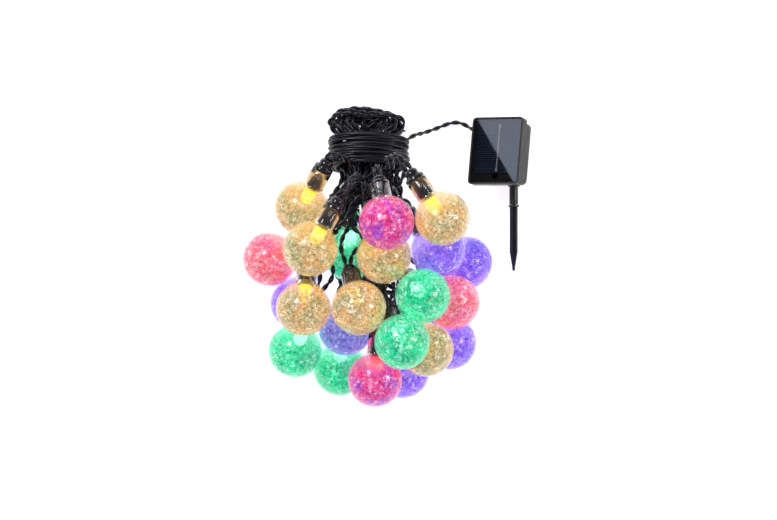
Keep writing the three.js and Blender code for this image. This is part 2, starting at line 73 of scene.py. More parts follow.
def bulb_place(number):
    """Globe centre and holder axis, from the two poles of the holder's solid."""
    points = node_points(f"socket_{number:02d}")
    gaps = np.linalg.norm(points[:, None] - points[None], axis=2)
    first, last = np.unravel_index(gaps.argmax(), gaps.shape)
    tip, end = points[first], points[last]
    low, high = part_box(f"globe_{number:02d}")
    middle = (np.array(low) + np.array(high)) / 2
    if np.linalg.norm(tip - middle) > np.linalg.norm(end - middle):
        tip, end = end, tip
    axis = (end - tip) / np.linalg.norm(end - tip)
    return tip - axis * LED_TIP, axis


BULBS = {number: bulb_place(number) for number in range(1, BULB_COUNT + 1)}

# ---------------------------------------------------------------- camera

# nearly straight down; VIEW_WIDTH is what the picture takes in at VIEW_DISTANCE
CAMERA_PLACE = (0.001, 0.0009, 3.06)
VIEW_DISTANCE = 3.0
VIEW_WIDTH = 0.565
camera_data = bpy.data.cameras.new("camera")
camera_data.lens = camera_data.sensor_width * VIEW_DISTANCE / VIEW_WIDTH
camera_data.clip_start = 0.1
camera = bpy.data.objects.new("camera", camera_data)
camera.location = CAMERA_PLACE
scene.collection.objects.link(camera)
scene.camera = camera


# ---------------------------------------------------------------- mesh helpers


def add_piece(name, mesh, materials, body, stands_for=(), place=Matrix.Identity(4)):
    """A visual piece on a CAD body, at place, standing for the CAD nodes named."""
    for material in materials:
        mesh.materials.append(material)
    piece = bpy.data.objects.new(name, mesh)
    piece.matrix_world = place
    scene.collection.objects.link(piece)
    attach(piece, body)
    if stands_for:
        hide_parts(*stands_for)
    return piece


def mesh_from(bm, name):
    """The bmesh as a mesh, the bmesh freed."""
    mesh = bpy.data.meshes.new(name)
    bm.to_mesh(mesh)
    bm.free()
    return mesh


def lathe_mesh(name, profile, sides, place, sharp_deg=40, material_of=None):
    """A solid of revolution about local +Y, its (radius, y) profile run from the +Y end down."""
    bm = bmesh.new()
    rings = []
    for radius, y in profile:
        if radius < 1e-7:
            rings.append([bm.verts.new((0, y, 0))])
            continue
        turn = [2 * math.pi * k / sides for k in range(sides)]
        rings.append([bm.verts.new((radius * math.cos(a), y, radius * math.sin(a))) for a in turn])
    for upper, lower in zip(rings, rings[1:] + rings[:1]):
        if len(upper) == len(lower) == 1:
            continue
        for k in range(sides):
            corners = [upper[k % len(upper)], upper[(k + 1) % len(upper)],
                       lower[(k + 1) % len(lower)], lower[k % len(lower)]]
            bm.faces.new(list(dict.fromkeys(corners)))
    bmesh.ops.recalc_face_normals(bm, faces=bm.faces)
    for face in bm.faces:
        face.smooth = True
        if material_of:
            face.material_index = material_of(face.calc_center_median())
    for edge in bm.edges:
        if len(edge.link_faces) == 2 and edge.calc_face_angle(0) > math.radians(sharp_deg):
            edge.smooth = False
    bm.transform(place)
    return mesh_from(bm, name)


def axis_frame(origin, axis):
    """The matrix that puts local +Y along axis, at origin."""
    turn = Vector((0, 1, 0)).rotation_difference(Vector(axis)).to_matrix().to_4x4()
    return Matrix.Translation(Vector(origin)) @ turn


# ---------------------------------------------------------------- materials


def new_material(name):
    material = bpy.data.materials.new(name)
    material.use_nodes = True
    nodes = material.node_tree.nodes
    return material, nodes, material.node_tree.links, nodes["Principled BSDF"]


def add_node(nodes, kind, **settings):
    node = nodes.new(kind)
    for key, value in settings.items():
        if key in node.inputs:
            node.inputs[key].default_value = value
        else:
            setattr(node, key, value)
    return node


def set_inputs(node, values):
    """Sets the node's named sockets."""
    for key, value in values.items():
        node.inputs[key].default_value = value


def object_coords(nodes, links, offset=(0, 0, 0), scale=(1, 1, 1)):
    coords = add_node(nodes, "ShaderNodeTexCoord")
    mapping = add_node(nodes, "ShaderNodeMapping")
    set_inputs(mapping, {"Location": offset, "Scale": scale})
    links.new(coords.outputs["Object"], mapping.inputs["Vector"])
    return mapping.outputs["Vector"]


def ramp(nodes, links, source, stops):
    """A colour ramp over source, its stops as (position, colour)."""
    node = add_node(nodes, "ShaderNodeValToRGB")
    elements = node.color_ramp.elements
    while len(elements) < len(stops):
        elements.new(0.5)
    for element, (position, colour) in zip(elements, stops):
        element.position = position
        element.color = (*colour, 1) if len(colour) == 3 else colour
    links.new(source, node.inputs["Fac"])
    return node.outputs["Color"]


def mix_colour(nodes, links, factor, first, second, blend="MIX"):
    node = add_node(nodes, "ShaderNodeMix", data_type="RGBA", blend_type=blend)
    sockets = (node.inputs[0], node.inputs[6], node.inputs[7])
    for socket, value in zip(sockets, (factor, first, second)):
        if isinstance(value, bpy.types.NodeSocket):
            links.new(value, socket)
        elif isinstance(value, (int, float)):
            socket.default_value = value
        else:
            socket.default_value = (*value, 1)
    return node.outputs[2]


def noise(nodes, links, vector, scale, detail=2.0, roughness=0.5):
    node = add_node(nodes, "ShaderNodeTexNoise", Scale=scale, Detail=detail, Roughness=roughness)
    links.new(vector, node.inputs["Vector"])
    return node.outputs["Fac"]


def height_along_bulb(nodes, links, low, high):
    """0 to 1 from low to high along the bulb's own axis."""
    coords = add_node(nodes, "ShaderNodeTexCoord")
    split = add_node(nodes, "ShaderNodeSeparateXYZ")
    links.new(coords.outputs["Object"], split.inputs["Vector"])
    height = add_node(nodes, "ShaderNodeMapRange")
    set_inputs(height, {"From Min": low, "From Max": high})
    links.new(split.outputs["Y"], height.inputs["Value"])
    return height.outputs["Result"]


def warped(nodes, links, vector, scale, amount):
    """The coordinates shaken by noise, so that cells and lines drawn on them come out ragged."""
    shake = add_node(nodes, "ShaderNodeTexNoise", Scale=scale, Detail=2.0)
    links.new(vector, shake.inputs["Vector"])
    centred = add_node(nodes, "ShaderNodeVectorMath", operation="SUBTRACT")
    centred.inputs[1].default_value = (0.5, 0.5, 0.5)
    links.new(shake.outputs["Color"], centred.inputs[0])
    scaled = add_node(nodes, "ShaderNodeVectorMath", operation="MULTIPLY_ADD")
    scaled.inputs[1].default_value = (amount,) * 3
    links.new(centred.outputs[0], scaled.inputs[0])
    links.new(vector, scaled.inputs[2])
    return scaled.outputs[0]


def bump(nodes, links, height, strength, distance, bsdf):
    node = add_node(nodes, "ShaderNodeBump", Strength=strength, Distance=distance)
    links.new(height, node.inputs["Height"])
    links.new(node.outputs["Normal"], bsdf.inputs["Normal"])


def moulded_plastic(name, colour, roughness, grain=900, grain_depth=0.25, coat=0.0):
    """Moulded plastic with a fine grain and slightly uneven gloss."""
    material, nodes, links, bsdf = new_material(name)
    vector = object_coords(nodes, links)
    lighter = tuple(min(1, c * 1.5 + 0.004) for c in colour)
    patches = noise(nodes, links, vector, 55, 3)
    colour_out = ramp(nodes, links, patches, [(0.35, colour), (0.75, lighter)])
    links.new(colour_out, bsdf.inputs["Base Color"])
    gloss = ramp(nodes, links, noise(nodes, links, vector, 120, 4),
                 [(0.3, (roughness * 0.8,) * 3), (0.7, (roughness * 1.2,) * 3)])
    links.new(gloss, bsdf.inputs["Roughness"])
    set_inputs(bsdf, {"Coat Weight": coat, "Coat Roughness": 0.08})
    bump(nodes, links, noise(nodes, links, vector, grain, 2), grain_depth, 0.0001, bsdf)
    return material


def metal(name, colour, roughness):
    material, nodes, links, bsdf = new_material(name)
    vector = object_coords(nodes, links, scale=(1, 8, 1))
    streaks = noise(nodes, links, vector, 700, 3)
    dim = tuple(c * 0.75 for c in colour)
    links.new(ramp(nodes, links, streaks, [(0.3, dim), (0.7, colour)]), bsdf.inputs["Base Color"])
    set_inputs(bsdf, {"Metallic": 1.0, "Roughness": roughness})
    bump(nodes, links, streaks, 0.15, 0.0001, bsdf)
    return material


def clear_plastic(name):
    material, nodes, links, bsdf = new_material(name)
    vector = object_coords(nodes, links)
    haze = ramp(nodes, links, noise(nodes, links, vector, 260, 3),
                [(0.35, (0.02, 0.02, 0.02)), (0.75, (0.1, 0.1, 0.1))])
    links.new(haze, bsdf.inputs["Roughness"])
    set_inputs(bsdf, {"Base Color": (0.97, 0.98, 1, 1), "Transmission Weight": 1.0, "IOR": 1.46})
    return material


# each light colour: the crackle's main tints, its painted glints (bright) and dark specks, the LED, and
# the painted glow it throws on the shell
PALETTES = {
    "gold": {"tints": [(0.68, 0.46, 0.20), (0.84, 0.46, 0.15), (0.42, 0.42, 0.20)],
             "bright": (1.0, 0.88, 0.62), "dark": (0.05, 0.06, 0.03), "led": (1.0, 0.58, 0.0),
             "glow": (1.0, 0.60, 0.06), "led_power": 1.7},
    "green": {"tints": [(0.0, 0.70, 0.32), (0.0, 0.85, 0.42), (0.0, 0.52, 0.28)],
              "bright": (0.40, 1.0, 0.75), "dark": (0.0, 0.10, 0.05), "led": (0.55, 1.0, 0.8),
              "glow": (0.1, 0.95, 0.55), "led_power": 1.6},
    "magenta": {"tints": [(0.80, 0.03, 0.22), (0.75, 0.05, 0.48), (0.36, 0.07, 0.66)],
                "bright": (1.0, 0.45, 0.75), "dark": (0.18, 0.0, 0.10), "led": (1.0, 0.06, 0.04),
                "glow": (1.0, 0.07, 0.14), "led_power": 1.8},
    "pink": {"tints": [(0.88, 0.13, 0.22), (0.85, 0.17, 0.38), (0.78, 0.22, 0.26)],
             "bright": (1.0, 0.66, 0.75), "dark": (0.30, 0.02, 0.08), "led": (1.0, 0.08, 0.04),
             "glow": (1.0, 0.15, 0.14), "led_power": 1.6},
    "violet": {"tints": [(0.28, 0.12, 0.88), (0.38, 0.16, 0.92), (0.18, 0.11, 0.80)],
               "bright": (0.66, 0.52, 1.0), "dark": (0.05, 0.02, 0.30), "led": (0.45, 0.3, 1.0),
               "glow": (0.40, 0.26, 1.0), "led_power": 1.2},
    "periwinkle": {"tints": [(0.22, 0.24, 0.80), (0.32, 0.26, 0.82), (0.18, 0.17, 0.66)],
                   "bright": (0.70, 0.70, 1.0), "dark": (0.05, 0.05, 0.25), "led": (0.5, 0.45, 1.0),
                   "glow": (0.42, 0.40, 1.0), "led_power": 1.2},
}
BULB_COLOURS = {
    "gold": (1, 2, 5, 7, 10, 11, 15),
    "green": (6, 12, 14, 18, 19),
    "magenta": (3, 20),
    "pink": (4, 13),
    "violet": (8, 9, 16, 21, 22),
    "periwinkle": (17,),
}
GLOBE_SLOTS = {"gold": "globe_gold", "green": "globe_green", "magenta": "globe_rose",
               "pink": "globe_rose", "violet": "globe_violet", "periwinkle": "globe_violet"}


def crackled(name, palette, seed):
    """Clear plastic crackled all through: painted glints on some cells, dark cracks and specks, and a
    painted glow from the LED at the neck.
    """
    material, nodes, links, bsdf = new_material(name)
    offset = tuple(0.37 * seed + 0.11 * k for k in range(3))
    vector = object_coords(nodes, links, offset=offset)
    tints = palette["tints"]
    patches = ramp(nodes, links, noise(nodes, links, vector, 70, 2),
                   [(0.36, tints[2]), (0.5, tints[0]), (0.64, tints[1])])
    cells = add_node(nodes, "ShaderNodeTexVoronoi", Scale=430.0, Randomness=1.0)
    ragged = warped(nodes, links, vector, 500, 2.4 * MM)
    links.new(ragged, cells.inputs["Vector"])
    # painted glints: some cells are turned toward the bright colour, standing in for crackle catching
    # the light
    painted_glints = ramp(nodes, links, cells.outputs["Color"],
                  [(0.45, (0, 0, 0)), (0.72, (0.4, 0.4, 0.4)), (0.84, (1, 1, 1))])
    with_painted_glints = mix_colour(nodes, links, painted_glints, patches, palette["bright"])
    cracks = add_node(nodes, "ShaderNodeTexVoronoi", Scale=260.0, feature="DISTANCE_TO_EDGE")
    links.new(ragged, cracks.inputs["Vector"])
    crack_mask = ramp(nodes, links, cracks.outputs["Distance"], [(0.02, (0.6,) * 3), (0.1, (0,) * 3)])
    specks = ramp(nodes, links, noise(nodes, links, vector, 560, 3, 0.7),
                  [(0.56, (0, 0, 0)), (0.62, (0.95, 0.95, 0.95))])
    with_cracks = mix_colour(nodes, links, crack_mask, with_painted_glints, palette["dark"])
    surface = mix_colour(nodes, links, specks, with_cracks, palette["dark"])

    # the painted glow by the neck: the LED's light painted into the shell's colour
    height = height_along_bulb(nodes, links, -6 * MM, GLOBE_RADIUS)
    glow_mask = ramp(nodes, links, height, [(0.2, (0, 0, 0)), (1.0, (0.7, 0.7, 0.7))])
    lit = mix_colour(nodes, links, glow_mask, surface, palette["glow"])
    lit_specks = mix_colour(nodes, links, crack_mask, lit, surface)
    links.new(lit_specks, bsdf.inputs["Base Color"])
    # painted glow: the whole shell emits its own colour, standing in for the LED's light inside it
    links.new(lit_specks, bsdf.inputs["Emission Color"])
    bsdf.inputs["Emission Strength"].default_value = 0.55
    opacity = ramp(nodes, links, noise(nodes, links, vector, 420, 3, 0.6),
                   [(0.38, (0.4,) * 3), (0.6, (0.88,) * 3)])
    near_neck = ramp(nodes, links, height, [(0.35, (0, 0, 0)), (0.65, (0.75, 0.75, 0.75))])
    thinner = mix_colour(nodes, links, near_neck, opacity, (0.2, 0.2, 0.2))
    links.new(thinner, bsdf.inputs["Alpha"])
    set_inputs(bsdf, {"Roughness": 0.12, "Coat Weight": 0.6, "Coat Roughness": 0.03})
    bump(nodes, links, cells.outputs["Distance"], 0.5, 0.0004, bsdf)
    return material


def glowing(name, palette):
    """The LED's capsule: palest along its middle, deeper in colour at the tip and by the holder."""
    material, nodes, links, bsdf = new_material(name)
    height = height_along_bulb(nodes, links, LED_TIP, LED_FOOT)
    white = tuple(0.2 + 0.8 * c for c in palette["led"])
    colour = ramp(nodes, links, height, [(0.1, palette["led"]), (0.55, white), (0.9, palette["led"])])
    links.new(colour, bsdf.inputs["Emission Color"])
    set_inputs(bsdf, {"Base Color": (*palette["led"], 1), "Emission Strength": palette["led_power"],
                      "Roughness": 0.2})
    return material


CORD_BLACK = moulded_plastic("cord_pvc", (0.006, 0.006, 0.016), 0.34,
                             grain=500, grain_depth=0.1, coat=0.25)
HOLDER_BLACK = moulded_plastic("holder_plastic", (0.008, 0.008, 0.014), 0.16,
                               grain=700, grain_depth=0.06, coat=0.5)
CASE_BLACK = moulded_plastic("case_plastic", (0.012, 0.012, 0.014), 0.42, grain=1600, grain_depth=0.3)
BUTTON_BLACK = moulded_plastic("button_rubber", (0.02, 0.02, 0.022), 0.6, grain=1200, grain_depth=0.3)
MARK_GREY = moulded_plastic("mark_grey", (0.28, 0.28, 0.30), 0.4)
SLEEVE_CLEAR = clear_plastic("sleeve_clear")
STEEL = metal("screw_steel", (0.62, 0.63, 0.65), 0.32)
SILVER = moulded_plastic("busbar_silver", (0.92, 0.94, 0.97), 0.35)


# ---------------------------------------------------------------- the hank's own frame

HANK_TILT = math.radians(18)
HANK_UP = np.array([0, math.cos(HANK_TILT), -math.sin(HANK_TILT)])
HANK_OUT = np.array([0, math.sin(HANK_TILT), math.cos(HANK_TILT)])
HANK_AXES = np.array([[1, 0, 0], HANK_UP, HANK_OUT])
WINDING_HEIGHT = 26 * MM
WINDING_HALF = (31.2 * MM, 18 * MM)
NECK_HALF = (22.6 * MM, 9.6 * MM)
winding_low, winding_high = (np.array(corner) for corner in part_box("lead_winding"))
HANK_BASE = (winding_low + winding_high) / 2 - HANK_UP * WINDING_HEIGHT / 2


def to_hank(points):
    return (np.asarray(points) - HANK_BASE) @ HANK_AXES.T


def from_hank(points):
    return np.asarray(points) @ HANK_AXES + HANK_BASE


# ---------------------------------------------------------------- cords

CORD_DIAMETER = 3.6 * MM
CORD_LENGTH = 0.30
LEAD_DIAMETER = 3.4 * MM
LINK = 5 * MM
LINKS = round(CORD_LENGTH / LINK)
LINE_STEP = 1.4 * MM
TIGHTEST_BEND = 6.2 * MM
SIDE_BY_SIDE = 1.95 * MM
FOLD_TOP = 42 * MM
DOME_POWER = 3.2
FOLD_HALF_WIDTH = 24.6 * MM
FOLD_HALF_DEPTH = 10.6 * MM
FIRST_BULB = 14


def distances_along(points):
    """How far along the polyline each of its points is."""
    return np.concatenate([[0], np.cumsum(np.linalg.norm(np.diff(points, axis=0), axis=1))])


def resampled(points, count):
    """The polyline's points, spaced evenly along it."""
    points = np.asarray(points)
    along = distances_along(points)
    marks = np.linspace(0, along[-1], count)
    return np.stack([np.interp(marks, along, points[:, k]) for k in range(3)], axis=1)


def line_length(points):
    return float(np.linalg.norm(np.diff(points, axis=0), axis=1).sum())


def rounded(points, passes):
    """Corners softened by averaging, the ends kept."""
    points = np.array(points)
    for _ in range(passes):
        points[1:-1] = 0.25 * points[:-2] + 0.5 * points[1:-1] + 0.25 * points[2:]
    return points


def string_order():
    """The order along the string: far bulbs and near ones by turns, so all folds are of a height."""
    gather = from_hank([0, -7 * MM, 0])

    def reach(number):
        centre, axis = BULBS[number]
        return np.linalg.norm(centre + axis * HOLDER_END - gather)

    others = sorted((n for n in BULBS if n != FIRST_BULB), key=reach)
    near, far = others[:11], [FIRST_BULB] + others[11:][::-1]
    return [number for pair in zip(far, near) for number in pair]


ORDER = string_order()


def holder_exit(number, side):
    """Where a cord leaves a holder's end (side -1 or 1 of the two), and the holder's axis."""
    centre, axis = BULBS[number]
    across = np.cross(axis, HANK_OUT)
    across /= np.linalg.norm(across)
    return centre + axis * HOLDER_END + across * side * SIDE_BY_SIDE, axis


def neck_places(count):
    """Places across the neck for the cords, row by row, as (x, z) in the hank's frame."""
    rows = [(-6.0, 8), (-2.0, 14), (2.0, 12), (6.0, 8)]
    places = []
    for z, along in rows:
        half = (NECK_HALF[0] - 2 * MM) * math.sqrt(1 - (z * MM / (NECK_HALF[1] - 1.2 * MM)) ** 2)
        places += [(half * (2 * k / (along - 1) - 1), z * MM) for k in range(along)]
    return places[:count]


def start_lines():
    """A first line for every cord: up from one holder through the neck, over the fold and back down."""
    places = neck_places(42)
    pairs = []
    for row in sorted({z for _, z in places}):
        in_row = sorted(p for p in places if p[1] == row)
        half = len(in_row) // 2
        # the row's two ends make the outer arch, the rest make loops of one width side by side
        pairs.append((in_row[0], in_row[-1]))
        inner_left, inner_right = in_row[1:half], in_row[half:-1]
        turn = len(inner_left) // 2 if row > 0 else 0
        pairs += list(zip(inner_left, inner_right[turn:] + inner_right[:turn]))
    lines = {}
    # the cords of the higher bulbs take the upper rows, and a cord starts on its first bulb's side
    links = list(zip(ORDER[:-1], ORDER[1:]))
    height = [BULBS[a][0][2] + BULBS[b][0][2] for a, b in links]
    for rank, index in enumerate(np.argsort(height, kind="stable")):
        first, second = links[index]
        (left_x, left_z), (right_x, right_z) = pairs[rank]
        if BULBS[first][0][0] > BULBS[second][0][0]:
            (left_x, left_z), (right_x, right_z) = (right_x, right_z), (left_x, left_z)
        start, start_axis = holder_exit(first, 1)
        end, end_axis = holder_exit(second, -1)
        reach = abs(right_x - left_x) / 2
        middle_x = (left_x + right_x) / 2
        arch = []
        for k in range(13):
            turn = math.pi * k / 12
            sign = 1 if right_x > left_x else -1
            swell = 1 + 0.25 * math.sin(turn)
            arch.append([middle_x - sign * reach * swell * math.cos(turn),
                         WINDING_HEIGHT + 15 * MM * math.sin(turn) ** 0.7,
                         (left_z + (right_z - left_z) * k / 12) * (1 + 0.4 * math.sin(turn))])
        inside = [[left_x, -8 * MM, left_z]] + arch + [[right_x, -8 * MM, right_z]]
        line = np.vstack([[start, start + start_axis * 7 * MM], from_hank(inside),
                          [end + end_axis * 7 * MM, end]])
        lines[index] = line
    return [lines[index] for index in range(len(links))]


def fitted_to_length(lines):
    """Each line resampled to its links, the folds raised or lowered so that its length comes near."""
    fitted = []
    for line in lines:
        for _ in range(40):
            local = to_hank(line)
            excess = line_length(line) - CORD_LENGTH
            top = local[:, 1] > WINDING_HEIGHT + 0.1 * MM
            grow = 1 - np.clip(excess / 0.06, -0.12, 0.12)
            local[top, 1] = WINDING_HEIGHT + (local[top, 1] - WINDING_HEIGHT) * grow
            local[top, 1] = np.minimum(local[top, 1], FOLD_TOP)
            line = from_hank(local)
        fitted.append(resampled(rounded(resampled(line, LINKS * 2 + 1), 6), LINKS + 1))
    return np.array(fitted)


def nearby_pairs(points, cord_of, place_of, reach):
    """Pairs of cord points closer than reach that aren't neighbours on one cord."""
    cell = np.floor(points / reach).astype(int)
    buckets = {}
    for index, key in enumerate(map(tuple, cell)):
        buckets.setdefault(key, []).append(index)
    pairs = []
    steps = [(i, j, k) for i in (-1, 0, 1) for j in (-1, 0, 1) for k in (-1, 0, 1)]
    for key, members in buckets.items():
        cells = [tuple(a + b for a, b in zip(key, step)) for step in steps]
        around = np.array([m for cell_key in cells for m in buckets.get(cell_key, [])])
        for member in members:
            later = around[around > member]
            if len(later) == 0:
                continue
            close = np.linalg.norm(points[later] - points[member], axis=1) < reach
            apart = (cord_of[later] != cord_of[member]) | (abs(place_of[later] - place_of[member]) > 3)
            pairs += [(member, other) for other in later[close & apart]]
    return np.array(pairs).reshape(-1, 2)


def push_out(points, nearest, radius, free):
    """Moves each free point that is closer than radius to its nearest place out to that distance."""
    away = points - nearest
    distance = np.maximum(np.linalg.norm(away, axis=-1, keepdims=True), 1e-9)
    inside = (distance[..., 0] < radius) & free
    points[inside] = (nearest + away / distance * radius)[inside]


def push_out_of_rod(points, first, second, radius, free):
    """The same from a straight rod."""
    line = second - first
    along = np.clip(((points - first) @ line) / (line @ line), 0, 1)
    push_out(points, first + along[..., None] * line, radius, free)


def ellipse_size(flat, half_x, half_z):
    """1 on the ellipse, less inside it, more outside."""
    return np.sqrt((flat[:, 0] / half_x) ** 2 + (flat[:, 1] / half_z) ** 2)


def keep_in_ellipse(flat, half_x, half_z):
    size = ellipse_size(flat, half_x, half_z)
    return flat * np.where(size > 1, 1 / np.maximum(size, 1e-9), 1.0)[:, None]


def keep_out_of_ellipse(flat, half_x, half_z):
    size = ellipse_size(flat, half_x, half_z)
    return flat * np.where(size < 1, 1 / np.maximum(size, 1e-3), 1.0)[:, None]


LIFT_ROOM = math.radians(20)
TWO_LINKS_APART = 9.25 * MM
SETTLE_ROUNDS = 260
PAIR_ROUNDS = 8
BEND_STIFFNESS = 0.35
HOME_PULL = 0.3


def settle_cords(points):
    """Relaxes the cords: link lengths kept, bends soft, clear of each other, bulbs and winding."""
    count, per_cord = points.shape[:2]
    radius = CORD_DIAMETER / 2
    cord_of = np.repeat(np.arange(count), per_cord)
    place_of = np.tile(np.arange(per_cord), count)
    fixed_ends = points[:, [0, 1, -2, -1]].copy()
    local = to_hank(points)
    bundled = np.zeros((count, per_cord), bool)
    for cord in range(count):
        inside = np.flatnonzero(local[cord, :, 1] > -7 * MM)
        middle = inside[(inside > 5) & (inside < per_cord - 6)]
        bundled[cord, middle.min():middle.max() + 1] = True
    # each cord keeps to its own two places across the neck, one going up and one coming down
    home = np.zeros((count, per_cord, 2))
    for cord in range(count):
        inside = np.flatnonzero(local[cord, :, 1] > 10 * MM)
        home[cord, :per_cord // 2] = local[cord, inside[0]][[0, 2]]
        home[cord, per_cord // 2:] = local[cord, inside[-1]][[0, 2]]
    free = np.ones((count, per_cord), bool)
    free[:, [0, 1, -2, -1]] = False
    pairs = np.empty((0, 2), int)
    for step in range(SETTLE_ROUNDS):
        second = points[:, :-2] - 2 * points[:, 1:-1] + points[:, 2:]
        smooth = np.zeros_like(points)
        smooth[:, 1:-1] = second * BEND_STIFFNESS * 0.5
        # a second pass spreads the bend instead of flattening it
        back = np.zeros_like(points)
        back[:, 2:-2] = smooth[:, 1:-3] - 2 * smooth[:, 2:-2] + smooth[:, 3:-1]
        points += np.where(free[..., None], smooth * 0.25 - back * 0.5, 0)
        if step % PAIR_ROUNDS == 0:
            pairs = nearby_pairs(points.reshape(-1, 3), cord_of, place_of, CORD_DIAMETER * 1.7)
        if len(pairs):
            flat = points.reshape(-1, 3)
            gap = flat[pairs[:, 1]] - flat[pairs[:, 0]]
            distance = np.maximum(np.linalg.norm(gap, axis=1, keepdims=True), 1e-9)
            push = np.maximum(CORD_DIAMETER - distance, 0) * 0.4 * gap / distance
            moved = np.zeros_like(flat)
            touches = np.ones(len(flat))
            np.add.at(moved, pairs[:, 1], push)
            np.add.at(moved, pairs[:, 0], -push)
            np.add.at(touches, pairs.ravel(), 0.35)
            points += np.where(free[..., None], (moved / touches[:, None]).reshape(points.shape), 0)
        for number, (centre, axis) in BULBS.items():
            push_out(points, centre, GLOBE_RADIUS + radius, free)
            end = centre + axis * HOLDER_END
            own = np.zeros((count, per_cord), bool)
            for cord in range(count):
                if ORDER[cord] == number:
                    own[cord, :4] = True
                if ORDER[cord + 1] == number:
                    own[cord, -4:] = True
            push_out_of_rod(points, centre, end - axis * 3 * MM, SLEEVE_RADIUS + radius, free & ~own)
            if number in LIFTING:
                # room for the holder at the top of its lift
                level = Vector((-axis[1], axis[0], 0)).normalized()
                turned = np.array(Matrix.Rotation(LIFT_ROOM, 3, level) @ Vector(axis))
                push_out_of_rod(points, end - turned * HOLDER_END, end - turned * 3 * MM,
                                SLEEVE_RADIUS + radius, free & ~own)
        local = to_hank(points)
        in_band = (local[..., 1] > 0) & (local[..., 1] < WINDING_HEIGHT)
        held = bundled & in_band & free
        flat = local[..., [0, 2]]
        flat[held] += HOME_PULL * (home[held] - flat[held])
        flat[held] = keep_in_ellipse(flat[held], NECK_HALF[0] - radius, NECK_HALF[1] - radius)
        low = bundled & (local[..., 1] <= 0) & free
        flat[low] = keep_in_ellipse(flat[low], NECK_HALF[0] + 1 * MM, NECK_HALF[1] + 1 * MM)
        loose = ~bundled & in_band & free
        flat[loose] = keep_out_of_ellipse(
            flat[loose], WINDING_HALF[0] + radius, WINDING_HALF[1] + radius)
        above = bundled & (local[..., 1] >= WINDING_HEIGHT) & free
        rise = (local[..., 1] - WINDING_HEIGHT) / (fold_top(flat[..., 0]) - WINDING_HEIGHT)
        over = above & (rise > 1)
        local[..., 1][over] = fold_top(flat[..., 0])[over]
        flat[above] = np.stack([np.clip(flat[above][:, 0], -FOLD_HALF_WIDTH, FOLD_HALF_WIDTH),
                                np.clip(flat[above][:, 1], -FOLD_HALF_DEPTH, FOLD_HALF_DEPTH)], axis=1)
        local[..., [0, 2]] = flat
        points = from_hank(local)
        points[..., 2] = np.where(free, np.maximum(points[..., 2], radius + 0.3 * MM), points[..., 2])
        for _ in range(6):
            # points two links apart are spread, so that no fold is tighter than the cord bends
            gap = points[:, 2:] - points[:, :-2]
            distance = np.maximum(np.linalg.norm(gap, axis=2, keepdims=True), 1e-9)
            spread = 0.3 * np.maximum(TWO_LINKS_APART - distance, 0) * gap / distance
            points[:, 2:] += np.where(free[:, 2:, None], spread, 0)
            points[:, :-2] -= np.where(free[:, :-2, None], spread, 0)
            for start in (0, 1):
                a, b = points[:, start:-1:2], points[:, start + 1::2]
                a = a[:, :b.shape[1]]
                gap = b - a
                distance = np.maximum(np.linalg.norm(gap, axis=2, keepdims=True), 1e-9)
                fix = (distance - LINK) * gap / distance
                free_a = free[:, start:-1:2][:, :b.shape[1], None]
                free_b = free[:, start + 1::2][..., None]
                share = np.maximum(free_a.astype(float) + free_b, 1)
                points[:, start:-1:2][:, :b.shape[1]] += np.where(free_a, fix / share, 0)
                points[:, start + 1::2] -= np.where(free_b, fix / share, 0)
        points[:, [0, 1, -2, -1]] = fixed_ends
    return points


def fold_top(x):
    """The highest a fold reaches at x across the hank: a dome, lower to the right."""
    across = np.clip(x / FOLD_HALF_WIDTH, -1, 1)
    lean = np.where(across > -0.1, 6 * MM * np.clip(across + 0.1, 0, 1.1), 0)
    dome = (FOLD_TOP - WINDING_HEIGHT - lean) * (1 - abs(across) ** DOME_POWER)
    return WINDING_HEIGHT + dome + 1.5 * MM


# the solar unit's own frame: across the panel, up it, and out of its face
PANEL_TURN = math.radians(30)
PANEL_TILT = math.radians(10)
PANEL_OUT = np.array([-math.sin(PANEL_TURN) * math.cos(PANEL_TILT), math.sin(PANEL_TILT),
                      math.cos(PANEL_TURN) * math.cos(PANEL_TILT)])
PANEL_ACROSS = np.array([math.cos(PANEL_TURN), 0, math.sin(PANEL_TURN)])
PANEL_UP = np.cross(PANEL_OUT, PANEL_ACROSS)
COVER_MIDDLE_DEPTH = 0.75 * MM
cover_points = node_points("panel_cover")
PANEL_CENTRE = (cover_points.min(0) + cover_points.max(0)) / 2 + PANEL_OUT * COVER_MIDDLE_DEPTH


def on_panel(across, up, depth):
    """A point of the solar unit, from the middle of its face, in millimetres."""
    return PANEL_CENTRE + (PANEL_ACROSS * across + PANEL_UP * up - PANEL_OUT * depth) * MM


GLAND_MOUTH = on_panel(-25.3, 17.5, 11.7)
GLAND_INSIDE = on_panel(-20, 17.5, 11.7)
# the free stretch of the lead, in millimetres from the hank's foot: first low, then up to the winding
LEAD_STRETCH = [(74.4, 32, -22.8), (70.9, 34.8, -23.8), (66.4, 36.3, -23.8), (60.4, 35.6, -23.8),
                (53.8, 32.6, -23.4), (45.5, 29.3, -20.9), (38.9, 27, -16.4)]
OUTER_HALF = (29.2 * MM, 16 * MM)
INNER_HALF = (25.7 * MM, 13.3 * MM)
TURNS = 7
TURN_PITCH = 3.45 * MM


